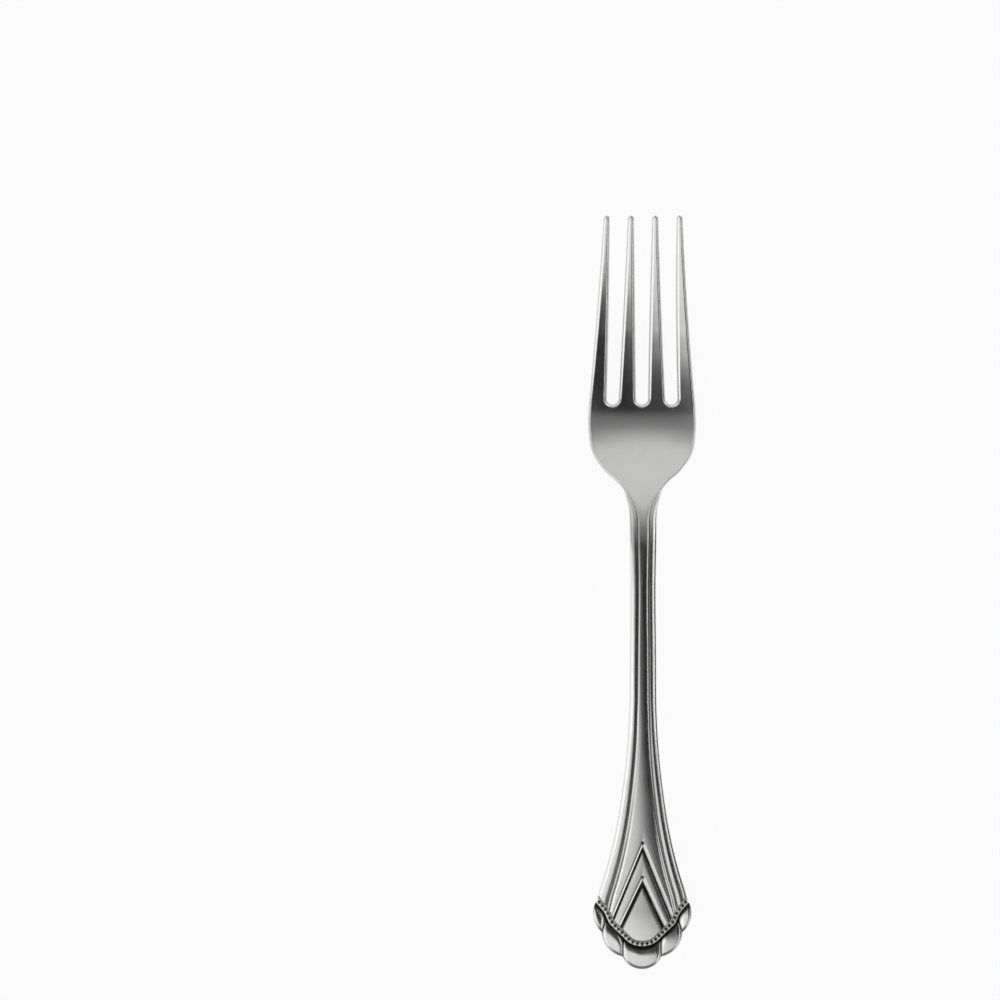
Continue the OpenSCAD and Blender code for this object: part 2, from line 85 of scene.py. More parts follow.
class ForkSizes(bpy.types.PropertyGroup):
    """The sizes of the fork, the same as those of its solids"""

    fork_length: length("Fork length", "From the end of the handle to the tine tips", 155.0)
    head_width: length("Head width", "Across the widest part of the head", 22.3)
    tip_span: length("Tip span", "Across the four tine tips", 16.1)
    tine_length: length("Tine length", "From the slot ends to the tips", 38.5)
    tine_root_width: length("Tine root width", "Of a tine where the slots end", 3.7)
    tine_tip_width: length("Tine tip width", "Of a tine behind its rounded tip", 1.2)
    head_length: length("Head length", "From the slot ends back to the shoulders", 24.5)
    dish_depth: length("Dish depth", "How much the rim of the head stands above its middle", 1.1)
    stem_width: length("Stem width", "Of the stem at its narrowest", 5.2)
    end_width: length("End width", "Across the side scallops", 20.1)
    widest_place: length("Widest place", "From the end to the widest part of the handle", 10.3)
    flare_length: length("Flare length", "From the widest part of the handle to the stem", 47.6)
    crest_height: length("Crest height", "Of the underside at the crest of the handle", 9.6)
    tip_height: length("Tip height", "Of the underside at the tine tips", 10.2)
    crest_place: length("Crest place", "From the crest to the end of the shoulders", 6.0)
    pad_length: length("Pad length", "Of the flat that the handle's end rests on", 2.2)
    end_thickness: length("End thickness", "Of the metal at the end of the handle", 2.0)
    stem_thickness: length("Stem thickness", "Of the metal in the stem", 3.2)
    head_thickness: length("Head thickness", "Of the metal in the head", 2.0)
    tip_thickness: length("Tip thickness", "Of the metal at the tine tips", 1.1)
    rim_width: length("Rim width", "Of the rim thread in the stem", 0.55)
    reed_width: length("Reed width", "Of the broad reed inside the rim in the stem", 1.05)
    thread_width: length("Thread width", "Of the inner thread in the stem", 0.55)
    wide_rim_width: length("Wide rim width", "Of the rim thread at the wide end", 0.6)
    wide_reed_width: length("Wide reed width", "Of the broad reed at the wide end", 1.85)
    wide_thread_width: length("Wide thread width", "Of the inner thread at the wide end", 0.75)
    reed_depth: length("Reed depth", "Of the deepest valley between the reeds", 0.2)
    chevron_outer_place: length("Outer chevron place", "From the end to its point", 26.4)
    chevron_inner_place: length("Inner chevron place", "From the end to its point", 19.3)
    chevron_outer_length: length("Outer chevron length", "Along the handle", 14.6)
    chevron_inner_length: length("Inner chevron length", "Along the handle", 9.6)
    chevron_outer_span: length("Outer chevron span", "Across its feet", 11.8)
    chevron_inner_span: length("Inner chevron span", "Across its feet", 9.0)
    border_top: length("Border top", "From the end to where the border meets the rim", 14.4)
    border_low: length("Border low", "From the end to the lowest bead", 5.25)
    bead_diameter: length("Bead diameter", "Of a bead of the border", 0.84)
    strip_width: length("Strip width", "Of the strip that carries the beads", 1.3)
    scallop_rise: length("Scallop rise", "Of the scallops' crests above the crown", 0.1)
    bead_count: bpy.props.IntProperty(
        name="Bead count", description="Number of beads along the border", default=27, min=3)


class ForkFinish(bpy.types.PropertyGroup):
    """The finish of the steel"""

    steel: colour("Steel", "Colour of the polished metal", (0.66, 0.66, 0.655))
    # shade is the painted shade colour: the steel is blended to it where grooves, creases, the band
    # under the border and the bead tops are painted dark
    shade: colour("Shade", "Colour of the tarnish that stays in the grooves", (0.02, 0.019, 0.018))
    roughness: share("Roughness", "Of the polished metal", 0.2)
    groove_roughness: share("Groove roughness", "Added where polishing can't reach", 0.18)
    grain: share("Grain", "Strength of the fine unevenness of the polish", 0.03)
    scratches: share("Scratches", "Strength of the hairline marks of use", 0.07)


# Curves

def follow(knots, u):
    """Cubic curve through [place, value] knots. The slope at an inner knot is that between its two
    neighbours, and at the two ends it is nought."""
    k = np.asarray(knots, float)
    x, y = k[:, 0], k[:, 1]
    m = np.zeros(len(x))
    m[1:-1] = (y[2:] - y[:-2]) / (x[2:] - x[:-2])
    v = np.clip(u, x[0], x[-1])
    i = np.clip(np.searchsorted(x, v, side="right") - 1, 0, len(x) - 2)
    h = x[i + 1] - x[i]
    t = (v - x[i]) / h
    return (y[i] * (1 + 2 * t) * (1 - t) ** 2 + m[i] * h * t * (1 - t) ** 2
            + y[i + 1] * t * t * (3 - 2 * t) + m[i + 1] * h * t * t * (t - 1))


def mix(a, b, t):
    """The value a share t of the way from a to b."""
    return a + (b - a) * t


def ease(value, low=0.0, high=1.0):
    """Rises from 0 to 1 with flat ends as a value goes from low to high: three t squared less two t
    cubed."""
    t = np.clip((value - low) / (high - low), 0.0, 1.0)
    return t * t * (3 - 2 * t)


def rounding(share_in):
    """Drop of a rounded edge, from 1 at the edge to 0 at its full width: one less the height of a
    quarter circle, which stops just short of upright."""
    c = 1 - np.clip(share_in, 0.0, 1.0)
    return 1 - np.sqrt(1 - 0.998 * c * c)


def bell(distance, width):
    """A smooth bump of height 1: e to the power of minus the squared distance in widths."""
    return np.exp(-(distance / width) ** 2)


def groove(distance, width):
    """A sharp groove of depth 1: e to the power of minus the distance in widths."""
    return np.exp(-np.abs(distance) / width)


def cosine_steps(count):
    """Places from 0 to 1 that lie closer together at both ends: half of one less the cosine."""
    return (1 - np.cos(np.pi * np.linspace(0, 1, count + 1))) / 2


def lengths(path):
    """Length along a line of points, from its first point to each."""
    return np.concatenate([[0], np.cumsum(np.linalg.norm(np.diff(path, axis=0), axis=1))])


def points_at(where, path):
    """Points that lie at given lengths along a line of points."""
    return np.stack([np.interp(where, lengths(path), path[:, k]) for k in (0, 1)], axis=1)


def right_side(path):
    """The part of a line of points from the fork's middle to its right."""
    return path[len(path) // 2:]


def falls(distance, slopes):
    """A slope that steepens towards a line: for each depth, reach and power, the depth times that
    power of one less the distance in reaches."""
    return -sum(depth * np.clip(1 - distance / reach, 0, 1) ** power for depth, reach, power in slopes)


# Knots of the outlines and profiles, as shares of the lengths, widths and heights that they follow:
# the flare, the shoulders and head, the bowl's underside, the sweep of the tines, and the border from
# its lowest bead to the rim
FLARE = [[0, 1], [0.1, 0.885], [0.207, 0.68], [0.307, 0.51], [0.414, 0.365], [0.521, 0.255],
         [0.629, 0.165], [0.729, 0.1], [0.843, 0.05], [1, 0.02]]
SHOULDER = [[0, 0.02], [0.13, 0.045], [0.21, 0.1], [0.285, 0.17], [0.355, 0.345], [0.42, 0.565],
            [0.49, 0.73], [0.56, 0.86], [0.64, 0.945], [0.75, 0.985], [0.84, 1], [1, 0.985]]
BOWL = [[0, 1], [0.1, 0.985], [0.2, 0.94], [0.3, 0.855], [0.4, 0.725], [0.5, 0.55],
        [0.6, 0.36], [0.7, 0.195], [0.8, 0.085], [0.9, 0.022], [1, 0]]
SWEEP = [[0, 0], [0.1, 0.022], [0.2, 0.073], [0.3, 0.145], [0.4, 0.231], [0.6, 0.441],
         [0.8, 0.698], [1, 1], [1.2, 1.348]]
BORDER = [[0, 0], [0.1, 0.012], [0.19, 0.045], [0.265, 0.1], [0.343, 0.185], [0.547, 0.404],
          [0.62, 0.49], [0.66, 0.575], [0.7, 0.68], [0.745, 0.77], [0.82, 0.87], [0.935, 1.02]]

# Shares too: the scallops' notches, the bulge of each scallop's arc and the inner ends of its creases
NOTCHES = [[0.398, 0.18], [0.826, 0.535]]
BULGES = [0.33, 0.17, 0.18]
CREASE_ENDS = [0.396, 0.731]
ROOT_SPAN = 0.985     # across the roots of the tines, of the head's width
SPAN_BOW = 0.015      # how far the outer tines bow inwards, of the same
WAIST = 0.6           # place of the narrowest stem, from the stem's start to the shoulders
REED_RUN = 0.886      # length over which the reeds change width, of the flare's
WIDE_RUN = (0.1, 0.8)     # start and end of the turn from the wide reeds' shape to the stem's
STRIP_CLEAR = 0.6     # from the border's top to the panel's upper end, of the strip's width
DISH_RUN = (0.2, 0.9)     # start and end of the dish's rise, of the head's length
DISH_AT_TIPS = 0.35   # depth of the dish at the tips, of its full depth

# Heights of the reeds in reed depths, in the stem and at the wide end. The place across runs from 0
# to 1 over the rim thread, to 2 over the broad reed, to 3 over the inner thread and to 4 over the
# field's edge
STEM_REEDS = [[0, -1.76], [0.25, -1.34], [0.51, -0.96], [0.76, -0.7], [1, -0.53], [1.19, -0.3],
              [1.38, -0.14], [1.52, -0.1], [1.62, -0.14], [1.76, -0.29], [1.9, -0.42], [2, -0.45],
              [2.15, -0.37], [2.45, -0.13], [2.73, 0.04], [3, 0.13], [3.3, 0.16], [4, 0.2]]
WIDE_REEDS = [[0, -2.3], [0.25, -1.86], [0.5, -1.44], [0.75, -1.09], [1, -0.8], [1.08, -0.6],
              [1.16, -0.45], [1.32, -0.18], [1.49, -0.02], [1.57, 0], [1.68, -0.08], [1.81, -0.3],
              [1.95, -0.52], [2.03, -0.55], [2.3, -0.33], [2.5, -0.26], [2.6, -0.26], [2.75, -0.34],
              [2.93, -0.46], [3, -0.46], [3.3, -0.3], [3.6, -0.12], [4, 0]]

# The body, in millimetres like all lengths from here to the materials
FIELD_EDGE = 0.5      # width of the field's edge beside the inner thread
LEAST_FIELD = 0.2     # least half width that the field swells over
FIELD_SWELL = 0.045   # height of the field's middle, as a share of its half width
HEAD_RUN = (1, 10)    # start and end of the turn from handle to head, from the shoulders
REED_END = (0.5, 10)  # the same for the reeds, which run out there
REEDS_LEFT = 0.03     # what is left of the reeds, as a share
COLUMN_TURN = (-4, 8)     # the same for the columns of points, which turn from the reeds to the tines
LEAST_ROW = 0.02      # least half width of a row of points
CAMBER = 0.12         # how far the handle's sides lie below its middle
DROOP = (0.004, 12, 6)    # of the handle's end: its strength, its start and its length

# Rounded edges: the handle's and the head's width, and their drops as shares of the thickness
TOP_EDGE, TOP_DROP = (0.14, 0.75), (0.28, 0.49)
UNDER_EDGE, UNDER_DROP = (1.0, 0.75), (0.42, 0.49)
TINE_EDGE, TINE_EDGE_MOST = 0.75, 0.45    # width on a tine, and its most as a share of the tine's
TINE_DROP = 0.98      # drop on a tine, as a share of half the thickness

# The chevrons. A fall has a depth, a reach and a power
CHEVRON_BAR = 0.33    # width of a bar
BAR_KNOTS = [[-CHEVRON_BAR, -0.3], [-0.28, -0.13], [-0.24, -0.055], [-0.2, -0.04],
             [-0.15, -0.045], [0, -0.1], [0.03, -0.13]]
BAR_RUN = 1.12        # half the length of a bar across the fork, as a share of half its span
BAR_DEPTH = 0.9       # from the crown down to the underside of a bar
BAR_CUT = (-0.05, 0.15)   # from the border's inner edge: where a bar is under it and where it is whole
BAR_SINK = 0.35       # how deep it dives
BAR_PAINTED_SHADE = (0.23, 0.28)   # from a chevron's line: where painted shade starts on the bar's inner side
OUTER_FALLS = [(0.03, 1.4, 2), (0.065, 0.38, 1.15)]
INNER_FALLS = [(0.1, 1.2, 3), (0.12, 0.2, 2)]
CREASES = [0.17, 0.27]    # half widths of the creases inside the outer and the inner chevron
CREASE_TURN = 0.1     # how far under the bar the fall turns into the crease
APEX_ROUND = 0.1      # rounding of the creases at the chevrons' points
APEX_PAINTED_SHADE = (1.6, 0.1, 0.32)      # strength of the painted shade spot, its place below the point, its width
FINE_PAST = 0.75      # how far the flare's fine rows run past the outer chevron's point

# The border
BORDER_OVERRUN = 1.6  # how far its path runs on past the rim
STRIP_DRAWN = 1.3     # width that the strip's knots are drawn at
STRIP_KNOTS = [[-0.65, -0.2], [-0.6, -0.06], [-0.53, 0.01], [-0.46, -0.06], [-0.4, -0.27],
               [-0.3, -0.33], [0, -0.31], [0.45, -0.34], [0.56, -0.42], [0.65, -0.55]]
STRIP_EDGE = (0.3, 0.5)   # drop and width of the rounding of the strip's ends at the rim
STRIP_UNDER = (0.84, 1.0)     # rise and width of the rounding under them
BEAD_SINK = 0.34      # from the crown down to a bead's middle
BEAD_FLAT = 0.85      # height of a bead as a share of its width
BEAD_POLE = 1.5       # turn in radians from a bead's widest ring to its last
BEAD_CLEAR = 0.1      # from the rim to the ends of the row of beads
BEAD_PAINTED_REFLECTION = (0.62, 0.84)  # heights between which a painted dark reflection covers a bead's top, in its radius

# The scallops
PILLOW = (0.02, 0.66, 2.1)    # lift, rise from the border and the length of that rise
SCALLOP_SLOPE = (0.24, 3.2)   # fall to the outer edge, and its length
SCALLOP_SIDE = (0.34, 1.15)   # dip along the sides, and its width
SIDE_NEAR = (0.4, 0.8, 0.9)   # share of that dip at the border, its growth from there, and over what
SCALLOP_ROLL = [(0.3, 0.75, 2)]   # fall along the rim
SIDE_LEAN = (0.16, 9)     # slope of the side scallops, and where across the fork it starts
SCALLOP_UNDER = (0.35, 0.6)   # rise and width of the rounding under the outer edge
RIM_CLEAR = 0.02      # from the rim to the last point where a side scallop meets the border
SHADE_WIDTH = (0.42, 0.72)    # of the shade under the border, at a scallop's sides and its middle
SHADE_TURN = 2.2      # from a side to where the shade has its full width
ROW_CROWDING = 0.6    # how much the rows of points crowd to both ends, from 0 to 1

# Widths of the painted shade lines on the reeds, in their valley, in the creases and along the outer
# edge
FINE_LINE, VALLEY_LINE, CREASE_LINE, RIM_LINE = 0.08, 0.14, 0.14, 0.22

# Numbers of points: across the body and a tine, over a scallop and a bar, and along the border
COLUMNS, TINE_COLUMNS = 193, 48
REED_COLUMNS = (13, 10, 5)    # across the broad reed, the inner thread and the field's edge
SCALLOP_COLUMNS, SCALLOP_ROWS = 72, 44
BAR_COLUMNS, BAR_ROWS = 171, 27
BORDER_POINTS, STRIP_COLUMNS, STRIP_ROWS = 401, 131, 27


class Fork:
    """The fork's lines and surfaces in millimetres, as whole-array functions of x, the place across
    the fork, and s, the distance from the end of the handle."""

    def __init__(self, sizes):
        for name in ForkSizes.__annotations__:
            value = getattr(sizes, name)
            setattr(self, name, value / MM if isinstance(value, float) else value)
        self.slot_end = self.fork_length - self.tine_length
        self.shoulder = self.slot_end - self.head_length
        self.crest = self.shoulder - self.crest_place
        self.stem_start = self.widest_place + self.flare_length
        self.waist = mix(self.stem_start, self.shoulder, WAIST)
        self.panel_low = self.border_top + self.strip_width * STRIP_CLEAR
        self.panel_top = self.chevron_outer_place + FINE_PAST
        self.root_span = self.head_width * ROOT_SPAN
        self.slot_radius = (self.root_span - 4 * self.tine_root_width) / 6
        self.slot_pitch = 2 * self.slot_radius + self.tine_root_width
        self.border_path = self._border()
        self.border_inner = self.beside_border(-self.strip_width / 2)
        self.border_outer = self.beside_border(self.strip_width / 2)
        self._scallops()

    # Outline

    def half_width(self, s):
        """Half the fork's width: the flare, the stem with its waist, then the shoulders and head."""
        flare = follow(FLARE, (s - self.widest_place) / self.flare_length)
        stem = FLARE[-1][1] * ease(s, self.waist, self.stem_start)
        neck = SHOULDER[0][1] * ease(s, self.waist, self.shoulder)
        head = follow(SHOULDER, (s - self.shoulder) / self.head_length)
        wider = np.select([s <= self.stem_start, s <= self.waist, s <= self.shoulder],
                          [flare, stem, neck], head)
        widest = np.where(s <= self.waist, self.end_width, self.head_width)
        return mix(self.stem_width, widest, wider) / 2

    def lean(self, s):
        """Length of the outline for each step along the fork: root of one plus its slope squared."""
        step = 0.05
        slope = (self.half_width(s + step) - self.half_width(s - step)) / (2 * step)
        return np.sqrt(1 + slope ** 2)

    def along_tines(self, s):
        """Goes evenly from 0 at the slot ends to 1 at the tips."""
        return (s - self.slot_end) / self.tine_length

    def tine_width(self, s):
        """Width of a tine, which narrows evenly from root to tip."""
        return mix(self.tine_root_width, self.tine_tip_width, self.along_tines(s))

    def tine_span(self, s):
        """Width across the four tines: it narrows evenly, less a small bow."""
        u = self.along_tines(s)
        return mix(self.root_span, self.tip_span, u) - self.root_span * SPAN_BOW * 4 * u * (1 - u)

    def tine_middle(self, step, s):
        """Middle line of a tine, counted in steps of one pitch from the fork's middle."""
        return step * (self.tine_span(s) - self.tine_width(s)) / 3

    # Side profile

    def bottom_line(self, s):
        """Height of the underside: a parabola up to the crest, then the bowl, then the tines."""
        to_crest = (self.crest - s) / (self.crest - self.pad_length)
        handle = self.crest_height * (1 - to_crest ** 2)
        bowl = self.crest_height * follow(BOWL, (s - self.crest) / (self.slot_end - self.crest))
        tines = self.tip_height * follow(SWEEP, self.along_tines(s))
        return np.select([s <= self.crest, s <= self.slot_end], [handle, bowl], tines)

    def thickness(self, s):
        """Thickness of the metal, thickest in the stem and thinnest at the tips."""
        handle = mix(self.end_thickness, self.stem_thickness,
                     ease(s, self.widest_place, self.stem_start))
        head = mix(self.stem_thickness, self.head_thickness, ease(s, self.waist, self.slot_end))
        tines = mix(self.head_thickness, self.tip_thickness, self.along_tines(s))
        return np.select([s <= self.waist, s <= self.slot_end], [handle, head], tines)

    def crown(self, s):
        """Height of the top: the underside plus the thickness."""
        return self.bottom_line(s) + self.thickness(s)

    def dish(self, x, s):
        """Rise of the head towards its rim: it grows with the square of the place across."""
        depth = (self.dish_depth * ease((s - self.shoulder) / self.head_length, *DISH_RUN)
                 * mix(1, DISH_AT_TIPS, np.clip(self.along_tines(s), 0, 1)))
        return depth * (2 * x / self.head_width) ** 2

    # The long body

    def reed_turn(self, s):
        """Share of the way from the wide end to the stem."""
        return np.clip((s - self.widest_place) / (self.flare_length * REED_RUN), 0, 1)

    def wide_share(self, s):
        """Turns from 1 where the reeds have the wide end's shape to 0 where they have the stem's."""
        return 1 - ease(self.reed_turn(s), *WIDE_RUN)

    def on_head(self, s):
        """Turns from 0 on the handle to 1 on the head, just past the shoulders."""
        return ease(s - self.shoulder, *HEAD_RUN)

    def reed_fade(self, s):
        """Falls from 1 to nearly 0 where the reeds run out along the shoulders."""
        return mix(1, REEDS_LEFT, ease(s - self.shoulder, *REED_END))

    def reeds(self, s):
        """Widths of the rim thread, the broad reed and the inner thread at s, which change evenly
        from the wide end to the stem."""
        u, fade = self.reed_turn(s), self.reed_fade(s)
        pairs = [(self.wide_rim_width, self.rim_width), (self.wide_reed_width, self.reed_width),
                 (self.wide_thread_width, self.thread_width)]
        return [mix(wide, slim, u) * fade for wide, slim in pairs]

    def field_half(self, s):
        """Half the width of the plain field between the inner threads."""
        return self.half_width(s) - sum(self.reeds(s)) * self.lean(s)

    def from_outline(self, x, s):
        """Distance inwards from the outline, square to it."""
        return (self.half_width(s) - np.abs(x)) / self.lean(s)

    def reeding(self, x, s):
        """Height of the reeds and the field. The heights at a place across go evenly from the wide
        end's knots to the stem's, and the field swells to its middle as a parabola."""
        place, left = 0, self.from_outline(x, s)
        for width in (*self.reeds(s), FIELD_EDGE):
            place, left = place + np.clip(left / width, 0, 1), left - width
        relief = mix(follow(STEM_REEDS, place), follow(WIDE_REEDS, place), self.wide_share(s))
        half = np.maximum(self.field_half(s), LEAST_FIELD)
        swell = FIELD_SWELL * half * (1 - np.clip(np.abs(x) / half, 0, 1) ** 2)
        return self.reed_depth * relief * self.reed_fade(s) + swell * (1 - self.on_head(s))

    def chevron_line(self, x, s, place, long, span):
        """Distance from a chevron's line, positive outside: the straight line from its point to its
        foot, mirrored."""
        half = span / 2
        return (np.abs(x) * long + (s - place) * half) / math.hypot(long, half)

    def chevrons(self):
        """Place, length and span of the outer and the inner chevron."""
        return [(self.chevron_outer_place, self.chevron_outer_length, self.chevron_outer_span),
                (self.chevron_inner_place, self.chevron_inner_length, self.chevron_inner_span)]

    def chevron_creases(self, x, s):
        """Relief along the chevrons: the field falls to each line, first gently and then steeply,
        stays low under the bar, drops into a crease inside it and rises again to the panel. The
        lines are rounded at their points."""
        depth = np.zeros(np.broadcast(x, s).shape)
        for (place, long, span), half_crease in zip(self.chevrons(), CREASES):
            q = self.chevron_line(np.hypot(x, APEX_ROUND), s, place, long, span)
            inward = -q - CHEVRON_BAR - half_crease
            depth = depth + mix(falls(q, OUTER_FALLS), falls(inward, INNER_FALLS),
                                ease(inward, -half_crease - CREASE_TURN, -CREASE_TURN))
        return depth

    def apex_mark(self, x, s):
        """Painted shade: a dark spot at each chevron's point."""
        strength, below, width = APEX_PAINTED_SHADE
        return sum(strength * bell(np.hypot(x, s - place + below), width)
                   for place, _, _ in self.chevrons())

    def slot_distance(self, x, s):
        """Distance from the round slot ends, all three at once."""
        centre_s = self.slot_end + self.slot_radius
        return np.min([np.hypot(x - k * self.slot_pitch, s - centre_s) - self.slot_radius
                       for k in (-1, 0, 1)], axis=0)

    def edge_distance(self, x, s):
        """Distance from the nearest edge of the handle or head."""
        side = self.from_outline(x, s)
        return np.where(s > self.shoulder, np.minimum(side, self.slot_distance(x, s)), side)

    def top(self, x, s):
        """Top of the handle and head: the crown and dish, with reeding, creases and rounded edges. The
        handle falls to its sides and its end as parabolas."""
        on_head = self.on_head(s)
        drop = self.thickness(s) * mix(*TOP_DROP, on_head)
        camber = CAMBER * (x / self.half_width(s)) ** 2 * (1 - on_head)
        strength, start, run = DROOP
        droop = strength * np.clip(start - s, 0, run) ** 2
        return (self.crown(s) + self.dish(x, s) - camber + self.reeding(x, s)
                + self.chevron_creases(x, s) - droop
                - drop * rounding(self.edge_distance(x, s) / mix(*TOP_EDGE, on_head)))

    def bottom(self, x, s):
        """Underside of the handle and head: the bottom line and dish, with rounded edges."""
        on_head = self.on_head(s)
        rise = self.thickness(s) * mix(*UNDER_DROP, on_head)
        return (np.maximum(self.bottom_line(s), 0) + self.dish(x, s)
                + rise * rounding(self.edge_distance(x, s) / mix(*UNDER_EDGE, on_head)))

    def reach(self, s):
        """Half the width of the body at s: the outline, or where the border cuts it off."""
        right = right_side(self.border_inner)
        half = self.half_width(s)
        cut = np.where(s < right[-1, 1], np.interp(s, right[:, 1], right[:, 0]), half)
        return np.maximum(np.minimum(half, cut), LEAST_ROW)

    def body_columns(self, s):
        """Places across the body, one row for each s. On the handle they follow the reeds, and on
        the head the four tines, with a smooth turn from the one to the other at the shoulders."""
        s = s[:, None]
        half = self.half_width(s)
        rim_steps = np.concatenate([0.5 * (1 - np.cos(np.pi / 2 * np.linspace(0, 1, 9))),
                                    0.5 + 0.5 * np.sin(np.pi / 2 * np.linspace(0, 1, 7)[1:])])
        steps = [rim_steps] + [np.linspace(0, 1, count + 1)[1:] for count in REED_COLUMNS]
        widths = [*self.reeds(s), FIELD_EDGE * self.reed_fade(s)]
        starts = np.cumsum([0 * s, *widths[:-1]], axis=0)
        from_edge = np.concatenate([start + step * width for start, step, width
                                    in zip(starts, steps, widths)], axis=1)
        right = half - from_edge[:, ::-1] * self.lean(s)
        field = np.linspace(-1, 1, COLUMNS - 2 * right.shape[1] + 2)[None, 1:-1] * right[:, :1]
        on_handle = np.concatenate([-right[:, ::-1], field, right], axis=1)
        pitch = self.slot_pitch / (self.root_span / 2)
        bounds = np.array([-1, -pitch, 0, pitch, 1])
        local = cosine_steps(TINE_COLUMNS)
        shares = np.concatenate([mix(bounds[k], bounds[k + 1], local[(k > 0):]) for k in range(4)])
        x = mix(on_handle, shares[None] * half, ease(s - self.shoulder, *COLUMN_TURN))
        return x * self.reach(s) / half

    # Tines

    def tine_sides(self, step, s):
        """Left and right side of a tine: its middle and width, the slots' round ends and its tip."""
        side = self.tine_width(s) / 2
        past = self.slot_radius - np.clip(s - self.slot_end, 0, self.slot_radius)
        swell = self.slot_radius - np.sqrt(np.maximum(self.slot_radius ** 2 - past ** 2, 0))
        nose = self.tine_tip_width / 2
        past_nose = np.clip((s - self.fork_length + nose) / nose, 0, 1)
        side = side * np.sqrt(np.maximum(1 - past_nose ** 2, 0))
        left = side + np.where(step > -1, swell, 0)
        right = side + np.where(step < 1, swell, 0)
        middle = self.tine_middle(step, s)
        return middle - left, middle + right

    def tine_edge(self, step, x, s):
        """Distance from the nearest edge of a tine: its two sides, with the slots' round ends, and
        its rounded tip."""
        middle = self.tine_middle(step, s)
        side = self.tine_width(s) / 2
        radius = self.slot_radius
        into = np.minimum(s - self.slot_end - radius, 0)
        left, right = x - (middle - side), (middle + side) - x
        if step > -1:
            left = np.hypot(left + radius, into) - radius
        if step < 1:
            right = np.hypot(right + radius, into) - radius
        nose = self.tine_tip_width / 2
        tip = nose - np.hypot(x - middle, s - self.fork_length + nose)
        edge = np.minimum(left, right)
        return np.where(s > self.fork_length - nose, np.minimum(edge, tip), edge)

    def tine_height(self, step, x, s, way):
        """Top or underside of a tine: its middle sheet, plus or less half the thickness, which falls
        away at the edges as a quarter ellipse."""
        half = self.thickness(s) / 2
        width = np.minimum(TINE_EDGE, self.tine_width(s) * TINE_EDGE_MOST)
        middle = self.bottom_line(s) + half + self.dish(x, s)
        drop = TINE_DROP * rounding(self.tine_edge(step, x, s) / width)
        return middle + way * half * (1 - drop)

    # Border

    def _border(self):
        """The border's path from rim to rim: a smooth curve through its knots, by length, with
        straight ends."""
        knots = np.array(BORDER)
        half = np.stack([knots[:, 0] * self.end_width / 2,
                         mix(self.border_low, self.border_top, knots[:, 1])], axis=1)
        way = half[-1] - half[-2]
        tip = half[-1] + way / np.linalg.norm(way) * BORDER_OVERRUN
        half = np.concatenate([half, tip[None]])
        path = np.concatenate([half[:0:-1] * [-1, 1], half])
        along = lengths(path)
        fine = np.linspace(0, along[-1], BORDER_POINTS)
        curve = np.stack([follow(np.stack([along, path[:, k]], axis=1), fine) for k in (0, 1)], axis=1)
        ends = (fine < along[1]) | (fine > along[-2])
        return np.where(ends[:, None], points_at(fine, path), curve)

    def beside_border(self, distance):
        """The border's path moved sideways, square to itself; outwards is positive."""
        way = np.gradient(self.border_path, axis=0)
        way = way / np.linalg.norm(way, axis=1, keepdims=True)
        return self.border_path + np.stack([way[:, 1], -way[:, 0]], axis=1) * distance

    def to_border(self, x, s):
        """Signed distance from the border's path, positive outside: to the nearest of its short
        straight pieces, with the sign of the side on which the point lies."""
        a, b = self.border_path[:-1:2], self.border_path[2::2]
        way = b - a
        size = np.linalg.norm(way, axis=1)
        p = np.stack([np.ravel(x), np.ravel(s)], axis=1)
        parts = []
        for q in np.array_split(p, len(p) // 4096 + 1):
            q = q[:, None, :] - a[None]
            t = np.clip(np.sum(q * way, axis=2) / size ** 2, 0, 1)
            far = np.linalg.norm(q - t[..., None] * way, axis=2)
            i = np.argmin(far, axis=1)
            rows = np.arange(len(i))
            cross = way[i, 1] * q[rows, i, 0] - way[i, 0] * q[rows, i, 1]
            parts.append(far[rows, i] * np.sign(cross))
        return np.concatenate(parts).reshape(np.shape(x))

    def strip_top(self, x, s):
        """Top of the beads' strip: a thin raised line at its inner edge, a low floor and a lower step
        along the scallops."""
        profile = [[q * self.strip_width / STRIP_DRAWN, h] for q, h in STRIP_KNOTS]
        return self.crown(s) + follow(profile, self.to_border(x, s))

    # Scallops

    def _scallops(self):
        """Circles of the scallops' outer edges, each through two notches with a given bulge."""
        notches = [np.array([x * self.end_width / 2, s * self.border_top]) for x, s in NOTCHES]
        corner = np.array([self.half_width(np.array(self.border_top)), self.border_top])
        ends = [(notches[0] * [-1, 1], notches[0]), (notches[0], notches[1]), (notches[1], corner)]
        self.arcs = []
        for (p, q), bulge in zip(ends, BULGES):
            chord = np.linalg.norm(q - p)
            rise = chord * bulge
            radius = (chord ** 2 / 4 + rise ** 2) / (2 * rise)
            way = (q - p) / chord
            out = np.array([way[1], -way[0]])
            centre = (p + q) / 2 - out * (radius - rise)
            turn = math.asin(chord / 2 / radius)
            self.arcs.append((centre, radius, out, way, turn))

